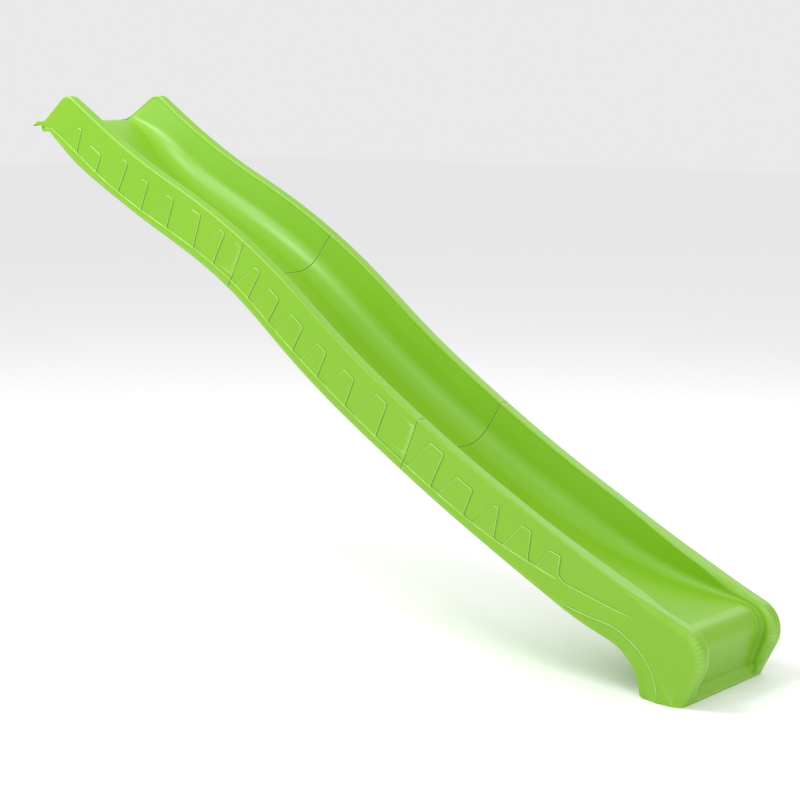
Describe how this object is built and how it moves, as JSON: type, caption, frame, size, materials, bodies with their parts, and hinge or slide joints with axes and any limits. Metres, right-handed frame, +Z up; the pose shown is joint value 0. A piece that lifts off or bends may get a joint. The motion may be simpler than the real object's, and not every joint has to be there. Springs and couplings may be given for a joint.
{
  "type": "straight slide",
  "caption": "Straight wavy playground slide: a hollow plastic chute in bolted sections, with a lip that hooks on a deck and two feet on the ground.",
  "frame": {"origin": "on the ground under the middle of the slide's length and width", "axes": "+X downhill, away from the deck; +Y across, to the left of a child sliding down; +Z up"},
  "size_m": [2.6373, 0.44, 1.5984],
  "materials": {
    "slide_plastic": "apple green polyethylene, satin, finely grained",
    "zinc_hardware": "bright zinc plated"
  },
  "bodies": {
    "root": {"top_section": "slide_plastic", "middle_section": "slide_plastic", "bottom_section": "slide_plastic", "upper_joint_bolts": "zinc_hardware", "upper_joint_head_washers": "zinc_hardware", "upper_joint_nut_washers": "zinc_hardware", "upper_joint_cap_nuts": "zinc_hardware", "lower_joint_bolts": "zinc_hardware", "lower_joint_head_washers": "zinc_hardware", "lower_joint_nut_washers": "zinc_hardware", "lower_joint_cap_nuts": "zinc_hardware", "deck_screws": "zinc_hardware", "deck_screw_washers": "zinc_hardware"}
  },
  "joints": []
}
